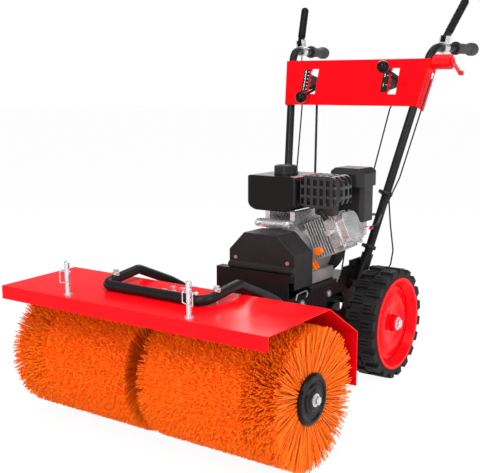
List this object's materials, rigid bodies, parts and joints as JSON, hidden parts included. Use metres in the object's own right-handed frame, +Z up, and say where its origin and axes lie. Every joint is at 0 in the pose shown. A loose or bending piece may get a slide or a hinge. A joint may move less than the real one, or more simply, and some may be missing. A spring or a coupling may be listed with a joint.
{
  "type": "power brush sweeper",
  "caption": "Walk-behind powered sweeper: full-width rotating brush under a hood on a swivelling head, engine on a wheeled chassis, and a handlebar with clutch levers and a control panel.",
  "frame": {"origin": "on the floor, midway between the hood's front edge and the grips' ends, on the machine's middle plane", "axes": "+Z up, the brush at -Y and the handlebar at +Y, +X to the driver's right as seen from behind"},
  "size_m": [0.873, 1.489, 1.1853],
  "materials": {
    "red_paint": "gloss",
    "black_paint": "satin",
    "charcoal": "satin",
    "bristle": "matte",
    "zinc": "satin",
    "steel": "satin",
    "cast_aluminium": "cast",
    "iron": "rough",
    "tyre_rubber": "matte",
    "rubber": "matte",
    "black_plastic": "satin",
    "gloss_black": "gloss",
    "red_plastic": "gloss",
    "orange_plastic": "gloss"
  },
  "bodies": {
    "chassis": {"front_plate": "black_paint", "chassis_frame": "black_paint", "kingpins": "zinc", "drive_belt": "rubber", "bearings": "iron", "belt_cover": "charcoal", "chassis_screws": "zinc", "transaxle": "iron", "engine_block": "cast_aluminium", "cylinder_head": "cast_aluminium", "fuel_tank": "gloss_black", "tank_bracket": "zinc", "muffler": "iron", "muffler_guard": "black_paint", "air_cleaner": "black_plastic", "carburettor": "cast_aluminium", "recoil_starter": "black_plastic", "handle_tubes": "black_paint", "handle_sockets": "black_paint", "control_panel": "red_paint", "hand_grips": "rubber", "lever_brackets": "zinc", "selector_brackets": "black_paint", "throttle_housing": "red_plastic", "control_cables": "rubber"},
    "brush_head": {"hood": "red_paint", "hood_support": "black_paint", "head_bolts": "zinc", "yoke_tube": "black_paint", "accessory_posts": "zinc", "linch_pins": "zinc", "gearbox_housing": "iron", "gearbox_cover": "iron", "torque_tube": "black_paint", "swivel_bracket": "black_paint"},
    "brush": {"bristles_left": "bristle", "bristles_right": "bristle", "brush_drums": "black_plastic", "brush_shaft": "steel", "end_flanges": "black_plastic", "end_bolts": "zinc"},
    "front_drive": {"pinion_shaft": "steel"},
    "rear_drive": {"drive_shaft": "steel", "drive_pulley": "iron"},
    "crank": {"crank_pulley": "iron"},
    "axle": {"axle_shaft": "zinc", "wheels": "red_paint", "tyres": "tyre_rubber"},
    "idler": {"idler_arm": "steel"},
    "clutch_left": {"clutch_lever_left": "black_plastic"},
    "clutch_right": {"clutch_lever_right": "black_plastic"},
    "selector_left_body": {"selector_left": "gloss_black"},
    "selector_right_body": {"selector_right": "gloss_black"},
    "shift": {"shift_rod": "black_paint"},
    "throttle": {"throttle_lever": "red_plastic"},
    "cap": {"fuel_cap": "black_plastic"},
    "choke": {"choke_lever": "red_plastic"},
    "starter": {"starter_grip": "black_plastic"},
    "oil_dipstick": {"dipstick": "orange_plastic"}
  },
  "joints": [
    {"name": "head_swivel", "type": "hinge", "parent": "chassis", "child": "brush_head", "pos_m": [0, -0.26248, 0.175], "axis": [0, 0, 1], "range_deg": [-15, 15]},
    {"name": "brush_spin", "type": "hinge", "parent": "brush_head", "child": "brush", "pos_m": [0, -0.54248, 0.175], "axis": [1, 0, 0], "continuous": true},
    {"name": "front_drive_spin", "type": "hinge", "parent": "brush_head", "child": "front_drive", "pos_m": [0, -0.39248, 0.175], "axis": [0, 1, 0], "continuous": true},
    {"name": "rear_drive_spin", "type": "hinge", "parent": "chassis", "child": "rear_drive", "pos_m": [0, -0.06248, 0.175], "axis": [0, 1, 0], "continuous": true},
    {"name": "crank_spin", "type": "hinge", "parent": "chassis", "child": "crank", "pos_m": [0.025, -0.12648, 0.406], "axis": [0, 1, 0], "continuous": true},
    {"name": "axle_spin", "type": "hinge", "parent": "chassis", "child": "axle", "pos_m": [0, 0.19652, 0.172], "axis": [1, 0, 0], "continuous": true},
    {"name": "left_clutch", "type": "hinge", "parent": "chassis", "child": "clutch_left", "pos_m": [-0.27415, 0.52524, 1.05156], "axis": [-0.9776, -0.114, -0.1771], "range_deg": [0, 48], "stiffness_Nm_per_rad": 3, "springref_deg": -8.59},
    {"name": "right_clutch", "type": "hinge", "parent": "chassis", "child": "clutch_right", "pos_m": [0.27415, 0.52524, 1.05156], "axis": [-0.9776, 0.114, 0.1771], "range_deg": [0, 48], "stiffness_Nm_per_rad": 3, "springref_deg": -8.59},
    {"name": "idler_swing", "type": "hinge", "parent": "chassis", "child": "idler", "pos_m": [-0.094, -0.14248, 0.236], "axis": [0, 1, 0], "range_deg": [0, 4]},
    {"name": "left_selector", "type": "hinge", "parent": "chassis", "child": "selector_left_body", "pos_m": [-0.151, 0.49952, 0.912], "axis": [-1, 0, 0], "range_deg": [0, 31.5]},
    {"name": "right_selector", "type": "hinge", "parent": "chassis", "child": "selector_right_body", "pos_m": [0.151, 0.49952, 0.912], "axis": [-1, 0, 0], "range_deg": [-31.5, 0]},
    {"name": "shift_slide", "type": "slide", "parent": "chassis", "child": "shift", "axis": [0, 0, 1], "range_m": [0, 0.0456]},
    {"name": "throttle_turn", "type": "hinge", "parent": "chassis", "child": "throttle", "pos_m": [0.32819, 0.45344, 0.97604], "axis": [1, 0, 0], "range_deg": [0, 45]},
    {"name": "cap_turn", "type": "hinge", "parent": "chassis", "child": "cap", "pos_m": [-0.008, 0.00952, 0.64], "axis": [0, 0, 1], "range_deg": [0, 90]},
    {"name": "choke_turn", "type": "hinge", "parent": "chassis", "child": "choke", "pos_m": [0.193, 0.11752, 0.4778], "axis": [0, 1, 0], "range_deg": [0, 60]},
    {"name": "starter_pull", "type": "slide", "parent": "chassis", "child": "starter", "axis": [-0.5, 0, 0.866], "range_m": [0, 0.09], "stiffness_N_per_m": 60, "springref_m": -0.03},
    {"name": "dipstick_turn", "type": "hinge", "parent": "chassis", "child": "oil_dipstick", "pos_m": [0.104, -0.03048, 0.364], "axis": [0.7986, 0, 0.6018], "range_deg": [0, 270]}
  ],
  "couplings": [
    {"joint": "front_drive_spin", "follows": "brush_spin", "ratio": -2},
    {"joint": "rear_drive_spin", "follows": "brush_spin", "ratio": -2},
    {"joint": "crank_spin", "follows": "brush_spin", "ratio": -3.1299},
    {"joint": "idler_swing", "follows": "left_clutch", "ratio": 0.083333},
    {"joint": "shift_slide", "follows": "left_selector", "m_per_rad": 0.082945}
  ]
}
